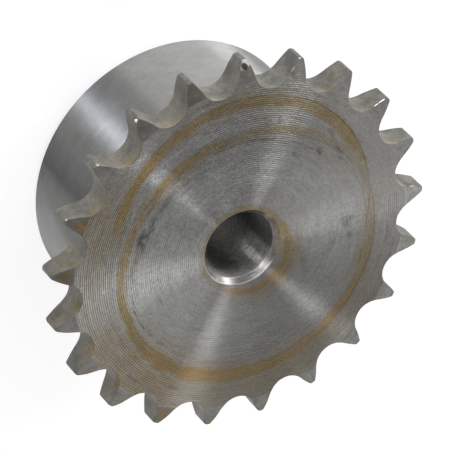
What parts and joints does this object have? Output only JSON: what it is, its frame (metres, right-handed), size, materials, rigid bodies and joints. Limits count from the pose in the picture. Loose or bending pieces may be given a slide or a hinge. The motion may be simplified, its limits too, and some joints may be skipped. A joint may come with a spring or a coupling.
{
  "type": "chain sprocket",
  "caption": "Roller chain sprocket with a plain hub on one side and a through bore, turned and cut from one piece of steel.",
  "frame": {"origin": "centre of the bore at the hub's end face, which the sprocket stands on", "axes": "+Z along the bore, from the hub's end towards the toothed plate; +X along the centre line of one tooth gap"},
  "size_m": [0.0673, 0.0674, 0.028],
  "materials": {
    "steel": "bare turned steel with feed marks, dull from storage, with rust rings and brown stains"
  },
  "bodies": {
    "root": {"sprocket": "steel"}
  },
  "joints": []
}
